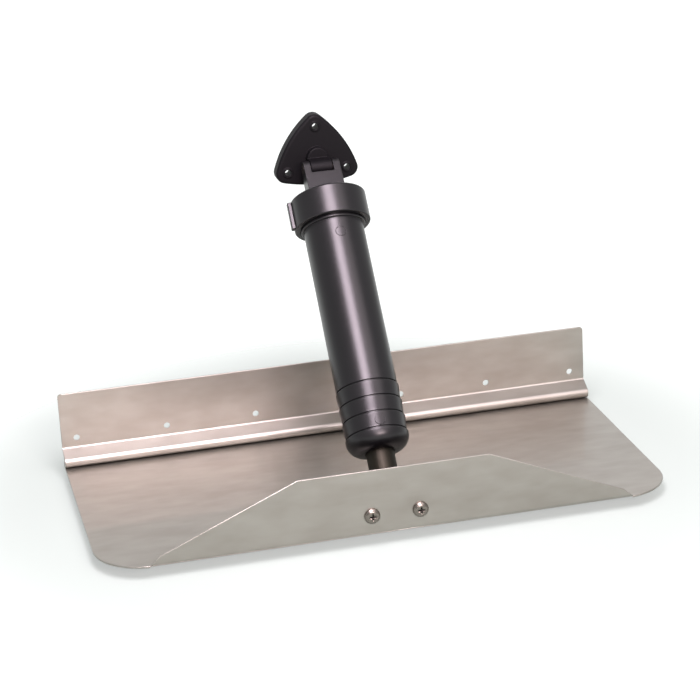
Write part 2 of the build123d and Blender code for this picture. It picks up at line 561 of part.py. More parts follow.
PARTS = {
    "back_plate": back_plate(),
    "trim_plane": trim_plane(),
    "hinge_pin": hinge_pin(),
    "lower_bracket": lower_bracket(),
    "bracket_screws": pair(pan_head_screw(), -CHORD),
    "bracket_washers": pair(washer(), LOWER_BASE_Y),
    "bracket_nuts": pair(nut(), LOWER_BASE_Y + WASHER_THICKNESS),
    "lower_pivot_pin": rod_x(LOWER_PIN_R, 2 * (ROD_R - LOWER_PIN_INSET), LOWER_PIN_Y, LOWER_PIN_Z),
    "piston_rod": ACTUATOR * piston_rod(),
    "piston": ACTUATOR * piston(),
    "piston_seal": ACTUATOR * piston_ring(SEAL_GROOVE),
    "piston_guide_ring": ACTUATOR * piston_ring(GUIDE_GROOVE),
    "piston_screw": ACTUATOR * piston_screw(),
    "return_spring": ACTUATOR * return_spring(),
    "barrel": ACTUATOR * barrel(),
    "rod_wiper": ACTUATOR * rod_wiper(),
    "rod_bushing": ACTUATOR * rod_bushing(),
    "collar_nut": ACTUATOR * collar_nut(),
    "end_cap": ACTUATOR * end_cap(),
    "end_cap_o_ring": ACTUATOR * end_cap_o_ring(),
    "upper_pivot_pin": UPPER_PIN * upper_pivot_pin(),
    "pivot_pin_o_rings": UPPER_PIN * pivot_pin_o_rings(),
    "upper_bracket": upper_bracket(),
}

os.makedirs("parts", exist_ok=True)
for name, shape in PARTS.items():
    export_step(shape, "parts/" + name + ".step")
    print(name, round(shape.volume, 1))
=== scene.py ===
import json
from math import cos, pi, radians, sin

import bmesh
import bpy
from mathutils import Matrix, Vector


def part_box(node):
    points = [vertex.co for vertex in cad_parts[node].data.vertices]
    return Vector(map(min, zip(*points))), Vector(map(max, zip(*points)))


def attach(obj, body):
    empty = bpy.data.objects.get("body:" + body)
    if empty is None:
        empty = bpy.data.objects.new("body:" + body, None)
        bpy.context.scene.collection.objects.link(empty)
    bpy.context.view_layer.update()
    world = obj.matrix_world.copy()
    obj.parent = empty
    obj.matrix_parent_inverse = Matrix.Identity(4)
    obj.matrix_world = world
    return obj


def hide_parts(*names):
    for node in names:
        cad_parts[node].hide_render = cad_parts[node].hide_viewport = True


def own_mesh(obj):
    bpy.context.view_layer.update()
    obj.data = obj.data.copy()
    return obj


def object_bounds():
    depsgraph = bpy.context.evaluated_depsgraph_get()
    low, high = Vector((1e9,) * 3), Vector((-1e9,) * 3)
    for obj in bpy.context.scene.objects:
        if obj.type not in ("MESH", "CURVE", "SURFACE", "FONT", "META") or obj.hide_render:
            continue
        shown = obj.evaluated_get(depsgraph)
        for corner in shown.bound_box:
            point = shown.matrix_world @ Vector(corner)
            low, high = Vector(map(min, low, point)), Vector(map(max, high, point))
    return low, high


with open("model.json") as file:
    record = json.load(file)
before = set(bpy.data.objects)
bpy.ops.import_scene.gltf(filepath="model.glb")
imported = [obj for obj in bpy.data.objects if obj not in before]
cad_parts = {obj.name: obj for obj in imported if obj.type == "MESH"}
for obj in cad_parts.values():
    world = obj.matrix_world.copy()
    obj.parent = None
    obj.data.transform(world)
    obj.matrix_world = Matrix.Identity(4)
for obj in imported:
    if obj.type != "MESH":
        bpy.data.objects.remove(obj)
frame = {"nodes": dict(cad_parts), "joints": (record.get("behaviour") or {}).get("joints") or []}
CAD_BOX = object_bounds()

bl_info = {
    "name": "Boat Trim Tab",
    "version": (1, 0, 0),
    "blender": (4, 5, 0),
    "location": "View3D > Sidebar > Trim Tab",
    "description": "Dresses a hydraulic boat trim tab in satin stainless steel and black moulded nylon",
    "category": "Object",
}

PHOTO_WIDTH = 700             # pixels
SENSOR_WIDTH = 36.0           # millimetres
MM = 0.001                    # metres
WELD = 0.001 * MM             # vertices nearer than this are one
FLAT = radians(0.5)           # faces that turn less than this are one face
BROKEN = radians(40)          # edges that turn more than this are broken
CAD_CREASE = radians(50)      # turns that stay sharp on a copy of a CAD mesh
TURNED_CREASE = radians(38)   # turns that stay sharp on a turned piece
WIRE_CREASE = radians(60)     # turns that stay sharp on a thin ring
ROUND_STEPS = 6               # points along a rounded corner of a turned section
RECESS_TAPER = 0.6            # foot of a screw's cross recess, as a share of its mouth
CAP_SEAT = 9 * MM             # end cap's seat below the collar's top
FINISH = {}                   # material of each slot
MATT = "matt nylon"           # second finish of the black_nylon slot


def linear(hex_colour):
    """Linear RGB of an sRGB hex value."""
    channels = [int(hex_colour[i:i + 2], 16) / 255 for i in (1, 3, 5)]
    return tuple(c / 12.92 if c <= 0.04045 else ((c + 0.055) / 1.055) ** 2.4 for c in channels)


def add_node(tree, kind, inputs=None, **settings):
    """A node with its settings; each input is a value, or an output socket to link from."""
    node = tree.nodes.new(kind)
    for name, value in settings.items():
        setattr(node, name, value)
    for name, value in (inputs or {}).items():
        if isinstance(value, bpy.types.NodeSocket):
            tree.links.new(value, node.inputs[name])
        else:
            node.inputs[name].default_value = value
    return node


def new_material(name):
    """A material and its empty tree."""
    material = bpy.data.materials.new(name)
    material.use_nodes = True
    material.node_tree.nodes.clear()
    return material, material.node_tree


def stretched(tree, size_mm):
    """Object coordinates scaled so that one unit of a pattern is size_mm long on each axis."""
    coords = add_node(tree, "ShaderNodeTexCoord")
    mapping = add_node(tree, "ShaderNodeMapping", {
        "Vector": coords.outputs["Object"],
        "Scale": [1 / (size * MM) for size in size_mm]})
    return mapping.outputs["Vector"]


def mix_colours(mix, first, second):
    """Set both colours of a colour Mix node, whose sockets share their names with its other kinds."""
    colours = [socket for socket in mix.inputs if socket.type == "RGBA"]
    colours[0].default_value = (*first, 1)
    colours[1].default_value = (*second, 1)


def stainless_sheet(finishes):
    """Cold-rolled stainless: satin, with rolling streaks along the span and faint warm and grey clouds."""
    material, tree = new_material("stainless_sheet_cold_rolled")
    # Rolling lines are about 0.1 mm wide. They are drawn 1.4 mm wide, so that they show.
    streaks = add_node(tree, "ShaderNodeTexNoise", {
        "Vector": stretched(tree, (90, 1.4, 1.4)), "Detail": 4.0})
    clouds = add_node(tree, "ShaderNodeTexNoise", {
        "Vector": stretched(tree, (160, 70, 70)), "Detail": 2.0})
    spread = add_node(tree, "ShaderNodeMapRange", {
        "Value": clouds.outputs["Fac"], "From Min": 0.3, "From Max": 0.7})
    tone = add_node(tree, "ShaderNodeMix", {"Factor": spread.outputs["Result"]}, data_type="RGBA")
    mix_colours(tone, finishes.sheet_shade, finishes.sheet_colour)
    rough = add_node(tree, "ShaderNodeMapRange", {
        "Value": streaks.outputs["Fac"], "To Min": finishes.sheet_roughness - 0.05,
        "To Max": finishes.sheet_roughness + 0.05})
    bump = add_node(tree, "ShaderNodeBump", {
        "Height": streaks.outputs["Fac"], "Distance": 0.02 * MM, "Strength": 0.3})
    shader = add_node(tree, "ShaderNodeBsdfPrincipled", {
        "Base Color": tone.outputs["Result"], "Metallic": 1.0, "Roughness": rough.outputs["Result"],
        "Normal": bump.outputs["Normal"], "Coat Weight": finishes.sheet_sheen, "Coat Roughness": 0.04})
    add_node(tree, "ShaderNodeOutputMaterial", {"Surface": shader.outputs["BSDF"]})
    return material


def black_nylon(finishes, name, roughness, gloss):
    """Glass-filled nylon, injection moulded: near black with a fine grain over slow drifts in gloss."""
    material, tree = new_material(name)
    # The mould's grain is about 0.2 mm. It is drawn 0.8 mm, so that it shows.
    grain = add_node(tree, "ShaderNodeTexNoise", {
        "Vector": stretched(tree, (0.8, 0.8, 0.8)), "Detail": 2.0})
    clouds = add_node(tree, "ShaderNodeTexNoise", {
        "Vector": stretched(tree, (22, 22, 22)), "Detail": 2.0})
    rough = add_node(tree, "ShaderNodeMapRange", {
        "Value": clouds.outputs["Fac"], "To Min": roughness - 0.04, "To Max": roughness + 0.04})
    bump = add_node(tree, "ShaderNodeBump", {
        "Height": grain.outputs["Fac"], "Distance": 0.02 * MM, "Strength": 0.25})
    shader = add_node(tree, "ShaderNodeBsdfPrincipled", {
        "Base Color": (*finishes.nylon_colour, 1), "IOR": 1.53, "Specular IOR Level": gloss,
        "Roughness": rough.outputs["Result"], "Normal": bump.outputs["Normal"]})
    add_node(tree, "ShaderNodeOutputMaterial", {"Surface": shader.outputs["BSDF"]})
    return material


def metal_with_painted_recess_shade(name, colour, shade, roughness, grain_mm):
    """A metal whose tone and gloss drift over grain_mm, with painted shade darkening its recesses."""
    material, tree = new_material(name)
    grain = add_node(tree, "ShaderNodeTexNoise", {"Vector": stretched(tree, grain_mm), "Detail": 4.0})
    tone = add_node(tree, "ShaderNodeMix", {"Factor": grain.outputs["Fac"]}, data_type="RGBA")
    mix_colours(tone, shade, colour)
    rough = add_node(tree, "ShaderNodeMapRange", {
        "Value": grain.outputs["Fac"], "To Min": roughness - 0.06, "To Max": roughness + 0.06})
    bump = add_node(tree, "ShaderNodeBump", {
        "Height": grain.outputs["Fac"], "Distance": 0.01 * MM, "Strength": 0.3})
    # Painted shade: ambient occlusion, cubed, darkens the tone in recesses such as a screw's cross recess.
    opening = add_node(tree, "ShaderNodeAmbientOcclusion", {"Distance": 3 * MM}, samples=8, only_local=True)
    painted_recess_shade = add_node(tree, "ShaderNodeMath", {0: opening.outputs["AO"], 1: 3.0}, operation="POWER")
    tone_with_painted_shade = add_node(tree, "ShaderNodeVectorMath", {
        0: tone.outputs["Result"], "Scale": painted_recess_shade.outputs[0]}, operation="SCALE")
    shader = add_node(tree, "ShaderNodeBsdfPrincipled", {
        "Base Color": tone_with_painted_shade.outputs[0], "Metallic": 1.0, "Roughness": rough.outputs["Result"],
        "Normal": bump.outputs["Normal"]})
    add_node(tree, "ShaderNodeOutputMaterial", {"Surface": shader.outputs["BSDF"]})
    return material


def moulded_plastic(name, colour, shade, roughness, ior):
    """A plastic or rubber whose tone drifts softly and whose skin has a fine grain."""
    material, tree = new_material(name)
    # The skin's grain is finer than 0.2 mm. It is drawn 0.6 mm, so that it shows.
    grain = add_node(tree, "ShaderNodeTexNoise", {
        "Vector": stretched(tree, (0.6, 0.6, 0.6)), "Detail": 2.0})
    clouds = add_node(tree, "ShaderNodeTexNoise", {
        "Vector": stretched(tree, (15, 15, 15)), "Detail": 2.0})
    tone = add_node(tree, "ShaderNodeMix", {"Factor": clouds.outputs["Fac"]}, data_type="RGBA")
    mix_colours(tone, shade, colour)
    bump = add_node(tree, "ShaderNodeBump", {
        "Height": grain.outputs["Fac"], "Distance": 0.02 * MM, "Strength": 0.2})
    shader = add_node(tree, "ShaderNodeBsdfPrincipled", {
        "Base Color": tone.outputs["Result"], "IOR": ior, "Roughness": roughness,
        "Normal": bump.outputs["Normal"]})
    add_node(tree, "ShaderNodeOutputMaterial", {"Surface": shader.outputs["BSDF"]})
    return material


def make_materials(finishes):
    """One material for each slot of the record."""
    return {
        "stainless_sheet": stainless_sheet(finishes),
        # Polished mould: a satin skin with a broad soft highlight.
        "black_nylon": black_nylon(
            finishes, "black_nylon_satin", roughness=finishes.nylon_roughness, gloss=0.4),
        # Grained mould: the same nylon, duller.
        MATT: black_nylon(finishes, "black_nylon_matt", roughness=0.55, gloss=0.1),
        # Turned and tumbled stainless: bright, with a fine drift in gloss.
        "stainless_hardware": metal_with_painted_recess_shade(
            "stainless_hardware_tumbled", finishes.hardware_colour, finishes.hardware_shade,
            roughness=0.28, grain_mm=(3, 3, 3)),
        # Ground steel rod under an oil film: dark olive grey with soft streaks.
        "rod_steel": metal_with_painted_recess_shade(
            "rod_steel_ground", finishes.rod_colour, finishes.rod_shade, roughness=0.5,
            grain_mm=(2, 12, 12)),
        # Drawn spring wire: mid grey, faintly clouded.
        "spring_steel": metal_with_painted_recess_shade(
            "spring_steel_drawn", finishes.hardware_shade, finishes.rod_colour, roughness=0.3,
            grain_mm=(4, 4, 4)),
        # Machined acetal: ivory and half matt.
        "bearing_plastic": moulded_plastic(
            "acetal_machined", linear("#e4e1d4"), linear("#dbd7c8"), roughness=0.4, ior=1.48),
        # Moulded nitrile rubber: black and dull.
        "seal_rubber": moulded_plastic(
            "nitrile_rubber_moulded", linear("#1c1c1c"), linear("#151515"), roughness=0.6, ior=1.52),
    }


def linked(name, data):
    """A new object in the scene with this data."""
    new = bpy.data.objects.new(name, data)
    bpy.context.scene.collection.objects.link(new)
    return new


def plain_mesh(source, name):
    """A mesh object at the origin from a source with its modifiers applied; the source is removed."""
    context = bpy.context
    context.view_layer.update()
    evaluated = source.evaluated_get(context.evaluated_depsgraph_get())
    piece = linked(name, bpy.data.meshes.new_from_object(evaluated))
    piece.data.name = name
    bpy.data.objects.remove(source)
    return piece


def mesh_object(name, vertices, edges=(), faces=()):
    """A new object in the scene with a mesh of these points, edges and faces."""
    mesh = bpy.data.meshes.new(name)
    mesh.from_pydata(vertices, edges, faces)
    return linked(name, mesh)


def tidy_faces(mesh, crease_angle):
    """Merge doubles, point the faces outwards, and shade smooth up to the crease angle."""
    work = bmesh.new()
    work.from_mesh(mesh)
    bmesh.ops.remove_doubles(work, verts=work.verts, dist=WELD)
    bmesh.ops.dissolve_degenerate(work, edges=work.edges, dist=WELD)
    bmesh.ops.recalc_face_normals(work, faces=work.faces)
    work.to_mesh(mesh)
    work.free()
    mesh.shade_smooth()
    mesh.set_sharp_from_angle(angle=crease_angle)


def steady(piece):
    """The piece with vertex normals that follow its large faces, so that flats beside rounds look flat."""
    piece.modifiers.new("steady_normals", "WEIGHTED_NORMAL").keep_sharp = True
    name = piece.name
    piece.name = name + "_unweighted"
    return plain_mesh(piece, name)


def finished(piece, slot, body, *nodes, finish=None):
    """Give a piece its finish, its body and the nodes that it stands for."""
    piece.data.materials.clear()
    piece.data.materials.append(FINISH[finish or slot])
    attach(piece, body)
    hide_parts(*nodes)


def broken_edges(node, width, segments=2, shortest=0):
    """A merged copy of a CAD node's mesh whose sharp edges, if longer than shortest, have a small round."""
    mesh = frame["nodes"][node].data.copy()
    work = bmesh.new()
    work.from_mesh(mesh)
    bmesh.ops.remove_doubles(work, verts=work.verts, dist=WELD)
    bmesh.ops.dissolve_limit(work, angle_limit=FLAT, verts=work.verts, edges=work.edges)
    weight = work.edges.layers.float.new("bevel_weight_edge")
    for edge in work.edges:
        edge[weight] = edge.calc_face_angle(0) > BROKEN and edge.calc_length() > shortest
    work.to_mesh(mesh)
    work.free()
    source = linked(node + "_source", mesh)
    bevel = source.modifiers.new("broken_edges", "BEVEL")
    bevel.width = width
    bevel.segments = segments
    bevel.limit_method = "WEIGHT"
    bevel.use_clamp_overlap = False
    piece = plain_mesh(source, node + "_shell")
    tidy_faces(piece.data, CAD_CREASE)
    return steady(piece)


def new_tree(name, inputs):
    """A Geometry Nodes tree with its Geometry sockets and named inputs."""
    tree = bpy.data.node_groups.new(name, "GeometryNodeTree")
    tree.interface.new_socket("Geometry", in_out="OUTPUT", socket_type="NodeSocketGeometry")
    tree.interface.new_socket("Geometry", in_out="INPUT", socket_type="NodeSocketGeometry")
    for label, kind in inputs.items():
        tree.interface.new_socket(label, in_out="INPUT", socket_type="NodeSocket" + kind)
    return tree, add_node(tree, "NodeGroupInput"), add_node(tree, "NodeGroupOutput")


def coated_tree(tree, given, made, geometry):
    """The tree, once it hands out its geometry in the given material."""
    coated = add_node(tree, "GeometryNodeSetMaterial", {
        "Geometry": geometry, "Material": given.outputs["Material"]})
    tree.links.new(coated.outputs["Geometry"], made.inputs["Geometry"])
    return tree


def run_tree(source, tree, values, name):
    """The plain mesh that a tree makes of a source object."""
    modifier = source.modifiers.new(tree.name, "NODES")
    modifier.node_group = tree
    for item in tree.interface.items_tree:
        if item.item_type == "SOCKET" and item.in_out == "INPUT" and item.name in values:
            modifier[item.identifier] = values[item.name]
    return plain_mesh(source, name)


def turned_tree():
    """Turns a section in X and Z about Z: corners rounded by their rounding attribute, then a full turn."""
    tree, given, made = new_tree("turned_section", {
        "Steps": "Int", "Closed": "Int", "Material": "Material"})
    section = add_node(tree, "GeometryNodeMeshToCurve", {"Mesh": given.outputs["Geometry"]})
    rounding = add_node(tree, "GeometryNodeInputNamedAttribute", {"Name": "rounding"}, data_type="FLOAT")
    rounded = add_node(tree, "GeometryNodeFilletCurve", {
        "Curve": section.outputs["Curve"], "Radius": rounding.outputs["Attribute"], "Count": ROUND_STEPS,
        "Limit Radius": True}, mode="POLY")
    size = add_node(tree, "GeometryNodeAttributeDomainSize", {"Geometry": rounded.outputs["Curve"]},
                    component="CURVE")
    rows = add_node(tree, "FunctionNodeIntegerMath", {
        0: size.outputs["Point Count"], 1: given.outputs["Closed"]}, operation="ADD")
    columns = add_node(tree, "FunctionNodeIntegerMath", {0: given.outputs["Steps"], 1: 1}, operation="ADD")
    grid = add_node(tree, "GeometryNodeMeshGrid", {
        "Vertices X": rows.outputs[0], "Vertices Y": columns.outputs[0]})
    index = add_node(tree, "GeometryNodeInputIndex")
    row = add_node(tree, "FunctionNodeIntegerMath", {
        0: index.outputs[0], 1: columns.outputs[0]}, operation="DIVIDE_FLOOR")
    column = add_node(tree, "FunctionNodeIntegerMath", {
        0: index.outputs[0], 1: columns.outputs[0]}, operation="MODULO")
    point = add_node(tree, "FunctionNodeIntegerMath", {
        0: row.outputs[0], 1: size.outputs["Point Count"]}, operation="MODULO")
    place = add_node(tree, "GeometryNodeInputPosition")
    corner = add_node(tree, "GeometryNodeSampleIndex", {
        "Geometry": rounded.outputs["Curve"], "Value": place.outputs[0], "Index": point.outputs[0]},
        data_type="FLOAT_VECTOR")
    part_turn = add_node(tree, "ShaderNodeMath", {0: column.outputs[0], 1: given.outputs["Steps"]},
                         operation="DIVIDE")
    angle = add_node(tree, "ShaderNodeMath", {0: part_turn.outputs[0], 1: 2 * pi}, operation="MULTIPLY")
    swung = add_node(tree, "ShaderNodeVectorRotate", {
        "Vector": corner.outputs["Value"], "Angle": angle.outputs[0]}, rotation_type="Z_AXIS")
    turned = add_node(tree, "GeometryNodeSetPosition", {
        "Geometry": grid.outputs["Mesh"], "Position": swung.outputs["Vector"]})
    welded = add_node(tree, "GeometryNodeMergeByDistance", {"Geometry": turned.outputs["Geometry"],
                                                            "Distance": WELD})
    return coated_tree(tree, given, made, welded.outputs["Geometry"])


def turned_piece(name, section, steps, material, closed=True):
    """A turned solid from (radius, height, rounding) corners in metres, about Z."""
    count = len(section)
    edges = [(i, (i + 1) % count) for i in range(count if closed else count - 1)]
    source = mesh_object(name + "_section", [(r, 0, h) for r, h, _ in section], edges)
    rounding = source.data.attributes.new("rounding", "FLOAT", "POINT")
    rounding.data.foreach_set("value", [corner for _, _, corner in section])
    piece = run_tree(source, turned_tree(), {
        "Steps": steps, "Closed": int(closed), "Material": material}, name)
    tidy_faces(piece.data, TURNED_CREASE)
    return steady(piece)


def joined(name, *pieces):
    """One object from several meshes."""
    work = bmesh.new()
    for piece in pieces:
        work.from_mesh(piece.data)
    mesh = bpy.data.meshes.new(name)
    work.to_mesh(mesh)
    work.free()
    for piece in pieces:
        bpy.data.objects.remove(piece)
    return linked(name, mesh)


def united(piece, other):
    """The piece and another as one solid."""
    boolean = piece.modifiers.new("united", "BOOLEAN")
    boolean.operation = "UNION"
    boolean.solver = "EXACT"
    boolean.object = other
    name = piece.name
    piece.name = name + "_alone"
    result = plain_mesh(piece, name)
    bpy.data.objects.remove(other)
    tidy_faces(result.data, TURNED_CREASE)
    return steady(result)


def joint_place(name):
    """A joint's place in the frame."""
    return Vector(next(joint["pos_m"] for joint in frame["joints"] if joint["name"] == name))


def actuator_frame():
    """The cylinder's own frame: origin at the lower pin, Z along its axis, X along the span."""
    lower, upper = joint_place("rod_pivot"), joint_place("bracket_pivot")
    axis = (upper - lower).normalized()
    side = Vector((1, 0, 0))
    return Matrix.Translation(lower) @ Matrix((side, axis.cross(side), axis)).transposed().to_4x4()


def barrel_section(cylinder):
    """Corners of the barrel's section: bulbous foot, grip beads, shoulder, thread and bore."""
    radius, foot, collar_foot = cylinder.barrel_radius, cylinder.barrel_foot, cylinder.collar_foot
    bulb, crest = radius + cylinder.bulb_rise, radius + cylinder.bead_rise
    groove_floor = radius - cylinder.groove_depth
    rod_hole, gland, bore = 11.6 * MM, 14.5 * MM, 19.05 * MM
    wiper_seat, bore_floor = foot + 5.5 * MM, foot + 17.5 * MM
    taper_length, taper_rounding, crest_height = 10.5 * MM, 30 * MM, 1.1 * MM
    first_groove = foot + cylinder.bulb_length
    corners = [(rod_hole, foot, 0.5 * MM), (bulb, foot, 0.96 * cylinder.bulb_length)]
    for count in range(cylinder.bead_count):
        groove = first_groove + count * cylinder.bead_pitch
        groove_top = groove + cylinder.groove_width
        if count:
            corners += [(radius, groove - taper_length, taper_rounding)]
        corners += [(crest, groove - crest_height, 2.5 * MM), (crest, groove, 0.5 * MM),
                    (groove_floor, groove, 0.3 * MM), (groove_floor, groove_top, 0.3 * MM),
                    (radius, groove_top, 0.4 * MM)]
    shoulder, neck = collar_foot - cylinder.shoulder_height, collar_foot + 1.5 * MM
    shoulder_radius, thread = radius + cylinder.shoulder_rise, radius + 2.6 * MM
    seat = collar_foot + cylinder.collar_length - CAP_SEAT
    corners += [(radius, shoulder, 0.3 * MM), (shoulder_radius, shoulder, 0.9 * MM),
                (shoulder_radius, neck, 0), (thread, neck, 0), (thread, seat, 0), (bore, seat, 0),
                (bore, bore_floor, 0), (gland, bore_floor, 0), (gland, wiper_seat, 0),
                (rod_hole, wiper_seat, 0)]
    return corners


def mark_tree():
    """Mould marks: rings laid round a cylinder that runs along Z, on its -Y side."""
    tree, given, made = new_tree("mould_marks", {
        "Mark Radius": "Float", "Wire": "Float", "Cylinder Radius": "Float", "Material": "Material"})
    circle = add_node(tree, "GeometryNodeCurvePrimitiveCircle", {
        "Resolution": 40, "Radius": given.outputs["Mark Radius"]})
    copies = add_node(tree, "GeometryNodeInstanceOnPoints", {
        "Points": given.outputs["Geometry"], "Instance": circle.outputs["Curve"]})
    real = add_node(tree, "GeometryNodeRealizeInstances", {"Geometry": copies.outputs["Instances"]})
    place = add_node(tree, "GeometryNodeInputPosition")
    flat = add_node(tree, "ShaderNodeSeparateXYZ", {"Vector": place.outputs[0]})
    angle = add_node(tree, "ShaderNodeMath", {
        0: flat.outputs["X"], 1: given.outputs["Cylinder Radius"]}, operation="DIVIDE")
    across = add_node(tree, "ShaderNodeMath", {0: angle.outputs[0]}, operation="SINE")
    away = add_node(tree, "ShaderNodeMath", {0: angle.outputs[0]}, operation="COSINE")
    x = add_node(tree, "ShaderNodeMath", {
        0: across.outputs[0], 1: given.outputs["Cylinder Radius"]}, operation="MULTIPLY")
    less = add_node(tree, "ShaderNodeMath", {
        0: away.outputs[0], 1: given.outputs["Cylinder Radius"]}, operation="MULTIPLY")
    y = add_node(tree, "ShaderNodeMath", {0: less.outputs[0], 1: -1.0}, operation="MULTIPLY")
    wrapped = add_node(tree, "ShaderNodeCombineXYZ", {
        "X": x.outputs[0], "Y": y.outputs[0], "Z": flat.outputs["Y"]})
    laid = add_node(tree, "GeometryNodeSetPosition", {
        "Geometry": real.outputs["Geometry"], "Position": wrapped.outputs["Vector"]})
    bead = add_node(tree, "GeometryNodeCurvePrimitiveCircle", {
        "Resolution": 8, "Radius": given.outputs["Wire"]})
    rings = add_node(tree, "GeometryNodeCurveToMesh", {
        "Curve": laid.outputs["Geometry"], "Profile Curve": bead.outputs["Curve"]})
    return coated_tree(tree, given, made, rings.outputs["Mesh"])


def collar_section(cylinder):
    """Corners of the ring nut's section."""
    thread, cap_flange = cylinder.barrel_radius + 2.65 * MM, cylinder.barrel_radius + 3.15 * MM
    outer, lip = cylinder.collar_radius, 20.5 * MM
    foot = cylinder.collar_foot
    top = foot + cylinder.collar_length
    lip_foot, seat = top - 4 * MM, top - CAP_SEAT
    return [(thread, foot, 0), (outer, foot, 1.2 * MM), (outer, top, 1.8 * MM), (lip, top, 0.6 * MM),
            (lip, lip_foot, 0), (cap_flange, lip_foot, 0), (cap_flange, seat, 0), (thread, seat, 0)]


def rounded_box(name, low, high, radius):
    """A box between two corners with all its edges rounded."""
    work = bmesh.new()
    bmesh.ops.create_cube(work, size=1)
    for vert in work.verts:
        vert.co = Vector([low[i] if vert.co[i] < 0 else high[i] for i in range(3)])
    bmesh.ops.bevel(work, geom=work.edges[:], offset=radius, segments=4, profile=0.5, affect="EDGES")
    mesh = bpy.data.meshes.new(name)
    work.to_mesh(mesh)
    work.free()
    return linked(name, mesh)


def screw_tree():
    """Cross-recessed screws in a row along X, from one plain screw."""
    tree, given, made = new_tree("cross_recessed_screws", {
        "Spacing": "Float", "Count": "Int", "Head Height": "Float", "Recess Span": "Float",
        "Recess Width": "Float", "Recess Depth": "Float", "Material": "Material"})
    blade_size = add_node(tree, "ShaderNodeCombineXYZ", {
        "X": given.outputs["Recess Span"], "Y": given.outputs["Recess Width"],
        "Z": given.outputs["Recess Depth"]})
    blade = add_node(tree, "GeometryNodeMeshCube", {"Size": blade_size.outputs[0]})
    place = add_node(tree, "GeometryNodeInputPosition")
    parts = add_node(tree, "ShaderNodeSeparateXYZ", {"Vector": place.outputs[0]})
    share = add_node(tree, "ShaderNodeMath", {0: parts.outputs["Z"], 1: given.outputs["Recess Depth"]},
                     operation="DIVIDE")
    taper = add_node(tree, "ShaderNodeMapRange", {
        "Value": share.outputs[0], "From Min": -0.5, "From Max": 0.5, "To Min": RECESS_TAPER,
        "To Max": 1.0})
    narrow = add_node(tree, "ShaderNodeCombineXYZ", {
        "X": taper.outputs[0], "Y": taper.outputs[0], "Z": 1.0})
    scaled = add_node(tree, "ShaderNodeVectorMath", {0: place.outputs[0], 1: narrow.outputs[0]},
                      operation="MULTIPLY")
    lift = add_node(tree, "ShaderNodeCombineXYZ", {"Z": given.outputs["Head Height"]})
    tapered = add_node(tree, "GeometryNodeSetPosition", {
        "Geometry": blade.outputs["Mesh"], "Position": scaled.outputs[0], "Offset": lift.outputs[0]})
    crossed = add_node(tree, "GeometryNodeTransform", {
        "Geometry": tapered.outputs["Geometry"], "Rotation": (0, 0, pi / 2)})
    recessed = add_node(tree, "GeometryNodeMeshBoolean", {"Mesh 1": given.outputs["Geometry"]},
                        operation="DIFFERENCE", solver="EXACT")
    for half in (tapered, crossed):
        tree.links.new(half.outputs["Geometry"], recessed.inputs["Mesh 2"])
    gap = add_node(tree, "ShaderNodeCombineXYZ", {"X": given.outputs["Spacing"]})
    row = add_node(tree, "GeometryNodeMeshLine", {
        "Count": given.outputs["Count"], "Offset": gap.outputs[0]})
    copies = add_node(tree, "GeometryNodeInstanceOnPoints", {
        "Points": row.outputs["Mesh"], "Instance": recessed.outputs["Mesh"]})
    real = add_node(tree, "GeometryNodeRealizeInstances", {"Geometry": copies.outputs["Instances"]})
    return coated_tree(tree, given, made, real.outputs["Geometry"])


class TrimTabFinishes(bpy.types.PropertyGroup):
    """Colours and surface finishes."""
    sheet_colour: bpy.props.FloatVectorProperty(
        name="Sheet colour", description="Stainless sheet", subtype="COLOR", size=3, min=0, max=1,
        default=linear("#9c9a92"))
    sheet_shade: bpy.props.FloatVectorProperty(
        name="Sheet shade", description="Darker clouds of the sheet", subtype="COLOR", size=3, min=0, max=1,
        default=linear("#928f87"))
    sheet_roughness: bpy.props.FloatProperty(
        name="Sheet roughness", description="Breadth of the sheet's highlight", subtype="FACTOR",
        default=0.46, min=0, max=1)
    sheet_sheen: bpy.props.FloatProperty(
        name="Sheet sheen", description="Strength of the clear reflection on the rolled skin",
        subtype="FACTOR", default=0.35, min=0, max=1)
    nylon_colour: bpy.props.FloatVectorProperty(
        name="Nylon colour", description="Moulded black nylon", subtype="COLOR", size=3, min=0, max=1,
        default=linear("#0a090b"))
    nylon_roughness: bpy.props.FloatProperty(
        name="Nylon roughness", description="Breadth of the nylon's highlight", subtype="FACTOR",
        default=0.33, min=0, max=1)
    hardware_colour: bpy.props.FloatVectorProperty(
        name="Hardware colour", description="Screws, nuts, washers and pins", subtype="COLOR", size=3, min=0,
        max=1, default=linear("#8a847c"))
    hardware_shade: bpy.props.FloatVectorProperty(
        name="Hardware shade", description="Duller patches of the hardware", subtype="COLOR", size=3, min=0,
        max=1, default=linear("#6f6962"))
    rod_colour: bpy.props.FloatVectorProperty(
        name="Rod colour", description="Ground piston rod", subtype="COLOR", size=3, min=0, max=1,
        default=linear("#35332c"))
    rod_shade: bpy.props.FloatVectorProperty(
        name="Rod shade", description="Oil film on the rod", subtype="COLOR", size=3, min=0, max=1,
        default=linear("#2a2723"))


class TrimTabEdges(bpy.types.PropertyGroup):
    """How far sharp edges are broken."""
    sheet_edge: bpy.props.FloatProperty(
        name="Sheet edge", description="Deburred edge of the sheet metal", unit="LENGTH", default=0.45 * MM)
    moulded_edge: bpy.props.FloatProperty(
        name="Moulded edge", description="Rounded edge of the nylon mouldings", unit="LENGTH",
        default=0.6 * MM)
    rod_edge: bpy.props.FloatProperty(
        name="Rod edge", description="Chamfered edge of the rod's fork", unit="LENGTH", default=0.4 * MM)
    shortest_edge: bpy.props.FloatProperty(
        name="Shortest edge", description="Shorter edges of the sheets stay sharp", unit="LENGTH",
        default=0.6 * MM)


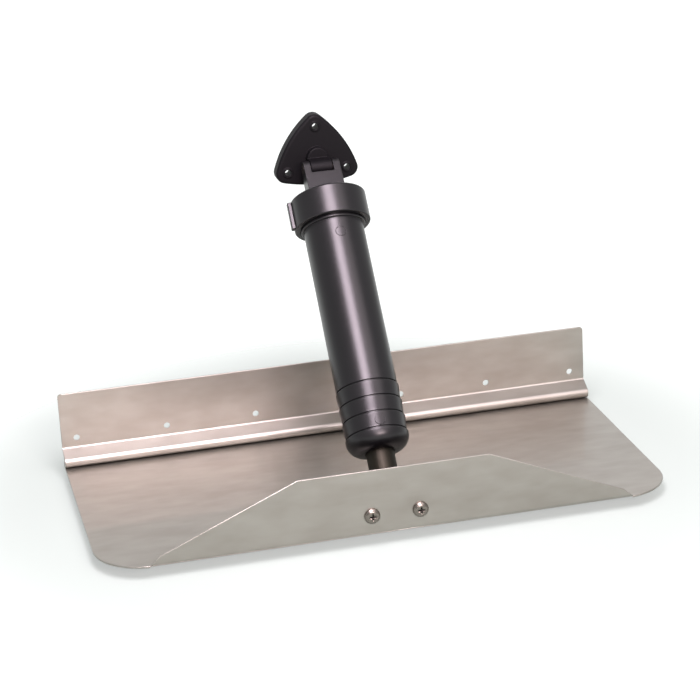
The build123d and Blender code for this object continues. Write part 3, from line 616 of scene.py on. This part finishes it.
class TrimTabCylinder(bpy.types.PropertyGroup):
    """Hydraulic cylinder, measured along its axis from the lower pin."""
    barrel_radius: bpy.props.FloatProperty(
        name="Barrel radius", description="Outside of the barrel", unit="LENGTH", default=24.3 * MM)
    barrel_foot: bpy.props.FloatProperty(
        name="Barrel foot", description="Lower end of the barrel", unit="LENGTH", default=41.5 * MM)
    bulb_length: bpy.props.FloatProperty(
        name="Bulb length", description="Foot up to the first groove", unit="LENGTH", default=12.9 * MM)
    bulb_rise: bpy.props.FloatProperty(
        name="Bulb rise", description="Bulb proud of the barrel", unit="LENGTH", default=1.1 * MM)
    bead_count: bpy.props.IntProperty(name="Grip beads", description="Grooves round the barrel", default=4)
    bead_pitch: bpy.props.FloatProperty(
        name="Bead pitch", description="From groove to groove", unit="LENGTH", default=12.9 * MM)
    bead_rise: bpy.props.FloatProperty(
        name="Bead rise", description="Bead proud of the barrel", unit="LENGTH", default=0.8 * MM)
    groove_depth: bpy.props.FloatProperty(
        name="Groove depth", description="Groove below the barrel", unit="LENGTH", default=1.2 * MM)
    groove_width: bpy.props.FloatProperty(
        name="Groove width", description="Height of a groove", unit="LENGTH", default=1.5 * MM)
    shoulder_rise: bpy.props.FloatProperty(
        name="Shoulder rise", description="Ring under the collar, proud of the barrel", unit="LENGTH",
        default=1.9 * MM)
    shoulder_height: bpy.props.FloatProperty(
        name="Shoulder height", description="Ring below the collar's foot", unit="LENGTH", default=2.2 * MM)
    mark_radius: bpy.props.FloatProperty(
        name="Mark radius", description="Raised mould marks", unit="LENGTH", default=4 * MM)
    mark_wire: bpy.props.FloatProperty(
        name="Mark wire", description="Half the width of a mark's line", unit="LENGTH", default=0.3 * MM)
    collar_foot: bpy.props.FloatProperty(
        name="Collar foot", description="Lower end of the collar", unit="LENGTH", default=235.5 * MM)
    collar_length: bpy.props.FloatProperty(
        name="Collar length", description="Height of the collar", unit="LENGTH", default=25 * MM)
    collar_radius: bpy.props.FloatProperty(
        name="Collar radius", description="Outside of the collar", unit="LENGTH", default=31 * MM)
    rib_size: bpy.props.FloatVectorProperty(
        name="Rib", description="Rise, width and length of the collar's rib", subtype="TRANSLATION", size=3,
        default=(2.7 * MM, 5 * MM, 23.5 * MM))
    rib_drop: bpy.props.FloatProperty(
        name="Rib drop", description="Top of the rib below the collar's", unit="LENGTH", default=0.5 * MM)
    stroke: bpy.props.FloatProperty(
        name="Stroke", description="Travel of the piston, which squeezes the spring", unit="LENGTH",
        default=57.15 * MM)
    steps: bpy.props.IntProperty(name="Steps", description="Flats round a turned piece", default=128)


class TrimTabScrews(bpy.types.PropertyGroup):
    """Pan head screws through the flange."""
    count: bpy.props.IntProperty(name="Screws", description="Screws in the row", default=2)
    spacing: bpy.props.FloatProperty(
        name="Spacing", description="From screw to screw", unit="LENGTH", default=38.1 * MM)
    shank_radius: bpy.props.FloatProperty(
        name="Shank radius", description="Quarter inch screw", unit="LENGTH", default=3.175 * MM)
    shank_length: bpy.props.FloatProperty(
        name="Shank length", description="Below the head", unit="LENGTH", default=14.7 * MM)
    head_radius: bpy.props.FloatProperty(
        name="Head radius", description="Pan head", unit="LENGTH", default=6.2 * MM)
    head_height: bpy.props.FloatProperty(
        name="Head height", description="Pan head", unit="LENGTH", default=3.9 * MM)
    recess_span: bpy.props.FloatProperty(
        name="Recess span", description="Width of the cross", unit="LENGTH", default=6.6 * MM)
    recess_width: bpy.props.FloatProperty(
        name="Recess width", description="Width of one blade", unit="LENGTH", default=1.5 * MM)
    recess_depth: bpy.props.FloatProperty(
        name="Recess depth", description="Depth of the cross, above and below the crown", unit="LENGTH",
        default=6.4 * MM)
    steps: bpy.props.IntProperty(name="Steps", description="Flats round a screw", default=48)


class TrimTabStage(bpy.types.PropertyGroup):
    """Camera, floor and lights."""
    azimuth: bpy.props.FloatProperty(
        name="Azimuth", description="Camera direction round the tab", subtype="ANGLE",
        default=radians(-12.51))
    elevation: bpy.props.FloatProperty(
        name="Elevation", description="Camera height angle", subtype="ANGLE", default=radians(19.37))
    roll: bpy.props.FloatProperty(
        name="Roll", description="Camera roll", subtype="ANGLE", default=radians(-3.15))
    distance: bpy.props.FloatProperty(
        name="Distance", description="Camera to target", unit="LENGTH", default=1.80147)
    target: bpy.props.FloatVectorProperty(
        name="Target", description="Point that the camera looks at", subtype="TRANSLATION", size=3,
        default=(-0.00102, -0.1016, 0.08185))
    focal_pixels: bpy.props.FloatProperty(
        name="Focal length", description="Focal length in pixels of the photo", default=2251.92)
    floor_gap: bpy.props.FloatProperty(
        name="Floor gap", description="Floor below the part", unit="LENGTH", default=10 * MM)
    floor_lift: bpy.props.FloatProperty(
        name="Floor lift", description="White added to the floor near the part", default=0.45, min=0, max=1)
    floor_far_lift: bpy.props.FloatProperty(
        name="Far floor lift", description="White added to the floor away from the part", default=1.0,
        min=0, max=1)
    fade_start: bpy.props.FloatProperty(
        name="Fade start", description="Where the far floor begins, from the part's middle", unit="LENGTH",
        default=0.26)
    fade_end: bpy.props.FloatProperty(
        name="Fade end", description="Where the floor is pure white", unit="LENGTH", default=0.5)
    paper_colour: bpy.props.FloatVectorProperty(
        name="Paper colour", description="Floor that takes the shadow", subtype="COLOR", size=3, min=0,
        max=1, default=linear("#7c8780"))
    light_aim: bpy.props.FloatVectorProperty(
        name="Light aim", description="Point that the soft boxes face", subtype="TRANSLATION", size=3,
        default=(0, -0.127, 0.092))
    wall_level: bpy.props.FloatProperty(
        name="Wall level", description="White wall behind the part, in reflections", default=1.35, min=0)
    room_level: bpy.props.FloatProperty(
        name="Room level", description="Rest of the room, in reflections", default=0.64, min=0)
    fill_level: bpy.props.FloatProperty(
        name="Fill level", description="Soft light from all round", default=0.6, min=0)


class TRIMTAB_OT_finishes(bpy.types.Operator):
    """Make the finishes and give them to the nodes that keep their own shape"""
    bl_idname = "trimtab.finishes"
    bl_label = "Finishes"

    def execute(self, context):
        FINISH.update(make_materials(context.scene.trim_tab_finishes))
        for node in frame["nodes"].values():
            for slot in node.material_slots:
                slot.material = FINISH[slot.material.name]
        return {"FINISHED"}


class TRIMTAB_OT_sheets(bpy.types.Operator):
    """Back plate and tab with deburred edges"""
    bl_idname = "trimtab.sheets"
    bl_label = "Back plate and tab"

    def execute(self, context):
        edges = context.scene.trim_tab_edges
        for node, body in (("back_plate", "back"), ("trim_plane", "tab")):
            sheet = broken_edges(node, edges.sheet_edge, shortest=edges.shortest_edge)
            finished(sheet, "stainless_sheet", body, node)
        return {"FINISHED"}


class TRIMTAB_OT_mouldings(bpy.types.Operator):
    """End cap and both brackets with the rounded edges of mouldings"""
    bl_idname = "trimtab.mouldings"
    bl_label = "End cap and brackets"

    def execute(self, context):
        width = context.scene.trim_tab_edges.moulded_edge
        for node, body, finish in (("end_cap", "cylinder", "black_nylon"),
                                   ("upper_bracket", "transom_bracket", MATT),
                                   ("lower_bracket", "tab", MATT)):
            finished(broken_edges(node, width, segments=3), "black_nylon", body, node, finish=finish)
        return {"FINISHED"}


class TRIMTAB_OT_rod(bpy.types.Operator):
    """Piston rod with its chamfered fork"""
    bl_idname = "trimtab.rod"
    bl_label = "Piston rod"

    def execute(self, context):
        width = context.scene.trim_tab_edges.rod_edge
        finished(broken_edges("piston_rod", width), "rod_steel", "rod", "piston_rod")
        return {"FINISHED"}


class TRIMTAB_OT_barrel(bpy.types.Operator):
    """Barrel turned from its section, with its mould marks"""
    bl_idname = "trimtab.barrel"
    bl_label = "Barrel"

    def execute(self, context):
        cylinder = context.scene.trim_tab_cylinder
        nylon = FINISH["black_nylon"]
        pieces = [turned_piece("barrel_body", barrel_section(cylinder), cylinder.steps, nylon)]
        upper_mark = cylinder.collar_foot - 14.7 * MM
        lower_mark = cylinder.barrel_foot + cylinder.bulb_length + 6.3 * MM
        taper_rise = 0.3 * MM
        for height, rise in ((upper_mark, 0), (lower_mark, taper_rise)):
            mark = run_tree(mesh_object("mark_place", [(0, height, 0)]), mark_tree(), {
                "Mark Radius": cylinder.mark_radius, "Wire": cylinder.mark_wire,
                "Cylinder Radius": cylinder.barrel_radius + rise, "Material": nylon}, "barrel_mark")
            tidy_faces(mark.data, WIRE_CREASE)
            pieces.append(mark)
        barrel = joined("barrel_shell", *pieces)
        barrel.data.transform(actuator_frame())
        finished(barrel, "black_nylon", "cylinder", "barrel")
        return {"FINISHED"}


class TRIMTAB_OT_collar(bpy.types.Operator):
    """Ring nut turned from its section, with its side rib"""
    bl_idname = "trimtab.collar"
    bl_label = "Collar nut"

    def execute(self, context):
        cylinder = context.scene.trim_tab_cylinder
        ring = turned_piece("collar_shell", collar_section(cylinder), cylinder.steps, FINISH["black_nylon"])
        radius = cylinder.collar_radius
        rise, width, length = cylinder.rib_size
        sunk, rounding = 1.9 * MM, 0.8 * MM
        top = cylinder.collar_foot + cylinder.collar_length - cylinder.rib_drop
        rib = rounded_box("collar_rib", (-radius - rise, -width / 2, top - length),
                          (-radius + sunk, width / 2, top), rounding)
        collar = united(ring, rib)
        collar.data.transform(actuator_frame())
        finished(collar, "black_nylon", "cylinder", "collar_nut")
        return {"FINISHED"}


class TRIMTAB_OT_spring(bpy.types.Operator):
    """Return spring, a smooth-shaded copy of the CAD coil"""
    bl_idname = "trimtab.spring"
    bl_label = "Return spring"

    def execute(self, context):
        spring = linked("return_spring_coil", frame["nodes"]["return_spring"].data.copy())
        tidy_faces(spring.data, CAD_CREASE)
        finished(spring, "spring_steel", "cylinder", "return_spring")
        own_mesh(spring)
        return {"FINISHED"}


class TRIMTAB_OT_screws(bpy.types.Operator):
    """Pan head screws with domed heads and tapered cross recesses"""
    bl_idname = "trimtab.screws"
    bl_label = "Bracket screws"

    def execute(self, context):
        screws = context.scene.trim_tab_screws
        radius, height, shank = screws.head_radius, screws.head_height, screws.shank_radius
        side, crown_radius, crown_foot = 0.35 * height, 0.72 * radius, 0.85 * height
        section = [(0, -screws.shank_length, 0), (shank, -screws.shank_length, 0.6 * MM), (shank, 0, 0),
                   (radius, 0, 0.3 * MM), (radius, side, 1.6 * MM), (crown_radius, crown_foot, 2.6 * MM),
                   (0, height, 0)]
        steel = FINISH["stainless_hardware"]
        screw = turned_piece("plain_screw", section, screws.steps, steel, closed=False)
        pair = run_tree(screw, screw_tree(), {
            "Spacing": screws.spacing, "Count": screws.count, "Head Height": height,
            "Recess Span": screws.recess_span, "Recess Width": screws.recess_width,
            "Recess Depth": screws.recess_depth, "Material": steel}, "bracket_screw_pair")
        tidy_faces(pair.data, TURNED_CREASE)
        flange_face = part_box("trim_plane")[0].y
        first = -(screws.count - 1) * screws.spacing / 2
        seat = Vector((first, flange_face, joint_place("rod_pivot").z))
        pair.data.transform(Matrix.Translation(seat) @ Matrix.Rotation(pi / 2, 4, "X"))
        finished(pair, "stainless_hardware", "tab", "bracket_screws")
        return {"FINISHED"}


# Name, direction from the part, distance in metres, size in metres, watts and colour
SOFT_BOXES = (
    ("key_soft_box", (-0.115, -0.50, 0.88), 0.9, (0.38, 0.62), 18.5, (1, 0.84, 0.95)),
    ("front_soft_box", (0.08, -0.93, 0.40), 2.2, (0.9, 0.5), 40, (1, 0.81, 0.84)),
    ("side_soft_box", (0.45, -0.45, 0.77), 1.1, (0.5, 0.6), 2.5, (1, 0.88, 0.92)),
    ("back_soft_box", (0.5, 0.75, 0.5), 1.4, (0.7, 0.5), 0.8, (1, 0.88, 0.92)),
)


def area_light(name, place, aim, size, power, colour):
    """A soft box at place that faces aim."""
    data = bpy.data.lights.new(name, "AREA")
    data.shape = "RECTANGLE"
    data.size, data.size_y = size
    data.energy = power
    data.color = colour
    light = linked(name, data)
    light.location = place
    light.rotation_euler = (aim - place).to_track_quat("-Z", "Y").to_euler()


def ray_kind(tree, first, *others):
    """1 for a ray of one of these kinds, and 0 for others."""
    ray = add_node(tree, "ShaderNodeLightPath")
    kind = ray.outputs[first]
    for other in others:
        either = add_node(tree, "ShaderNodeMath", {0: kind, 1: ray.outputs[other]}, operation="MAXIMUM")
        kind = either.outputs[0]
    return kind


def white_paper(stage):
    """Matt paper that is lifted to pure white away from the part, so that only its shadow shows."""
    material, tree = new_material("white_paper_sweep")
    middle = (0, -0.1, 0)
    coords = add_node(tree, "ShaderNodeTexCoord")
    centred = add_node(tree, "ShaderNodeVectorMath", {0: coords.outputs["Object"], 1: middle},
                       operation="SUBTRACT")
    away = add_node(tree, "ShaderNodeVectorMath", {0: centred.outputs[0]}, operation="LENGTH")
    fade = add_node(tree, "ShaderNodeMapRange", {
        "Value": away.outputs["Value"], "From Min": stage.fade_start, "From Max": stage.fade_end,
        "To Min": stage.floor_lift, "To Max": stage.floor_far_lift}, interpolation_type="SMOOTHSTEP")
    mirrored = ray_kind(tree, "Is Glossy Ray", "Is Transmission Ray")
    lift = add_node(tree, "ShaderNodeMath", {0: mirrored, 1: fade.outputs["Result"]},
                    operation="MULTIPLY")
    glow = add_node(tree, "ShaderNodeEmission", {"Color": (1, 1, 1, 1), "Strength": lift.outputs[0]})
    # The camera's share of white comes through the paper, so a tab that dips below it still shows.
    through = add_node(tree, "ShaderNodeMath", {
        0: ray_kind(tree, "Is Camera Ray"), 1: fade.outputs["Result"]}, operation="MULTIPLY")
    clear = add_node(tree, "ShaderNodeBsdfTransparent", {"Color": through.outputs[0]})
    white = add_node(tree, "ShaderNodeAddShader", {0: glow.outputs[0], 1: clear.outputs[0]})
    paper = add_node(tree, "ShaderNodeBsdfDiffuse", {"Color": (*stage.paper_colour, 1)})
    both = add_node(tree, "ShaderNodeAddShader", {0: paper.outputs[0], 1: white.outputs[0]})
    add_node(tree, "ShaderNodeOutputMaterial", {"Surface": both.outputs[0]})
    return material


def studio_world(stage):
    """White to the camera; in reflections the wall behind is white and the rest of the room is dim."""
    world = bpy.data.worlds.new("studio")
    world.use_nodes = True
    tree = world.node_tree
    tree.nodes.clear()
    coords = add_node(tree, "ShaderNodeTexCoord")
    toward = add_node(tree, "ShaderNodeSeparateXYZ", {"Vector": coords.outputs["Generated"]})
    wall = add_node(tree, "ShaderNodeMapRange", {
        "Value": toward.outputs["Y"], "From Min": 0.7, "From Max": 0.95, "To Min": stage.room_level,
        "To Max": stage.wall_level}, interpolation_type="SMOOTHSTEP")
    reflected = add_node(tree, "ShaderNodeBackground", {"Color": (1, 1, 1, 1), "Strength": wall.outputs[0]})
    room = add_node(tree, "ShaderNodeBackground", {
        "Color": (0.95, 0.97, 1, 1), "Strength": stage.fill_level})
    white = add_node(tree, "ShaderNodeBackground", {"Color": (1, 1, 1, 1), "Strength": 1.0})
    glossy = add_node(tree, "ShaderNodeMixShader", {
        0: ray_kind(tree, "Is Glossy Ray", "Is Transmission Ray"), 1: room.outputs[0],
        2: reflected.outputs[0]})
    direct = add_node(tree, "ShaderNodeMixShader", {
        0: ray_kind(tree, "Is Camera Ray"), 1: glossy.outputs[0], 2: white.outputs[0]})
    add_node(tree, "ShaderNodeOutputWorld", {"Surface": direct.outputs[0]})
    return world


class TRIMTAB_OT_stage(bpy.types.Operator):
    """Make the floor, the soft boxes and the camera"""
    bl_idname = "trimtab.stage"
    bl_label = "Stage"

    def execute(self, context):
        stage = context.scene.trim_tab_stage
        floor_z = CAD_BOX[0][2] - stage.floor_gap
        half = 6.0
        corners = [(x, y, floor_z) for x, y in ((-half, -half), (half, -half), (half, half), (-half, half))]
        floor = mesh_object("floor", corners, faces=[(0, 1, 2, 3)])
        floor.data.materials.append(white_paper(stage))
        context.scene.world = studio_world(stage)

        aim = Vector(stage.light_aim)
        for name, direction, distance, size, power, colour in SOFT_BOXES:
            area_light(name, aim + Vector(direction) * distance, aim, size, power, colour)

        level = cos(stage.elevation)
        back = Vector((sin(stage.azimuth) * level, -cos(stage.azimuth) * level, sin(stage.elevation)))
        right = (-back).cross(Vector((0, 0, 1))).normalized()
        up = right.cross(-back)
        rolled_right = cos(stage.roll) * right + sin(stage.roll) * up
        rolled_up = cos(stage.roll) * up - sin(stage.roll) * right
        data = bpy.data.cameras.new("photo_camera")
        data.sensor_width = SENSOR_WIDTH
        data.lens = stage.focal_pixels / PHOTO_WIDTH * SENSOR_WIDTH
        camera = linked("photo_camera", data)
        turn = Matrix((rolled_right, rolled_up, back)).transposed().to_4x4()
        camera.matrix_world = Matrix.Translation(Vector(stage.target) + back * stage.distance) @ turn
        context.scene.camera = camera
        context.scene.view_settings.view_transform = "Standard"
        return {"FINISHED"}


class TRIMTAB_PT_sidebar(bpy.types.Panel):
    """Sizes, finishes and build steps of the trim tab"""
    bl_idname = "TRIMTAB_PT_sidebar"
    bl_label = "Boat Trim Tab"
    bl_space_type = "VIEW_3D"
    bl_region_type = "UI"
    bl_category = "Trim Tab"

    def draw(self, context):
        for operator in OPERATORS:
            self.layout.operator(operator.bl_idname)
        for setting, group in SETTINGS.items():
            box = self.layout.box()
            box.label(text=group.__doc__)
            for name in group.__annotations__:
                box.prop(getattr(context.scene, setting), name)


SETTINGS = {
    "trim_tab_finishes": TrimTabFinishes,
    "trim_tab_edges": TrimTabEdges,
    "trim_tab_cylinder": TrimTabCylinder,
    "trim_tab_screws": TrimTabScrews,
    "trim_tab_stage": TrimTabStage,
}
OPERATORS = (TRIMTAB_OT_finishes, TRIMTAB_OT_sheets, TRIMTAB_OT_mouldings, TRIMTAB_OT_rod,
             TRIMTAB_OT_barrel, TRIMTAB_OT_collar, TRIMTAB_OT_spring, TRIMTAB_OT_screws, TRIMTAB_OT_stage)


def register():
    """Add the classes and their settings to Blender."""
    for cls in (*SETTINGS.values(), *OPERATORS, TRIMTAB_PT_sidebar):
        bpy.utils.register_class(cls)
    for name, group in SETTINGS.items():
        setattr(bpy.types.Scene, name, bpy.props.PointerProperty(type=group))


def unregister():
    """Take the settings and the classes away again."""
    for name in SETTINGS:
        delattr(bpy.types.Scene, name)
    for cls in (TRIMTAB_PT_sidebar, *reversed(OPERATORS), *reversed(SETTINGS.values())):
        bpy.utils.unregister_class(cls)


def main():
    """Register the settings, then make every piece and the stage."""
    register()
    bpy.ops.trimtab.finishes()
    bpy.ops.trimtab.sheets()
    bpy.ops.trimtab.mouldings()
    bpy.ops.trimtab.rod()
    bpy.ops.trimtab.barrel()
    bpy.ops.trimtab.collar()
    bpy.ops.trimtab.spring()
    bpy.ops.trimtab.screws()
    bpy.ops.trimtab.stage()


if __name__ == "__main__":
    main()
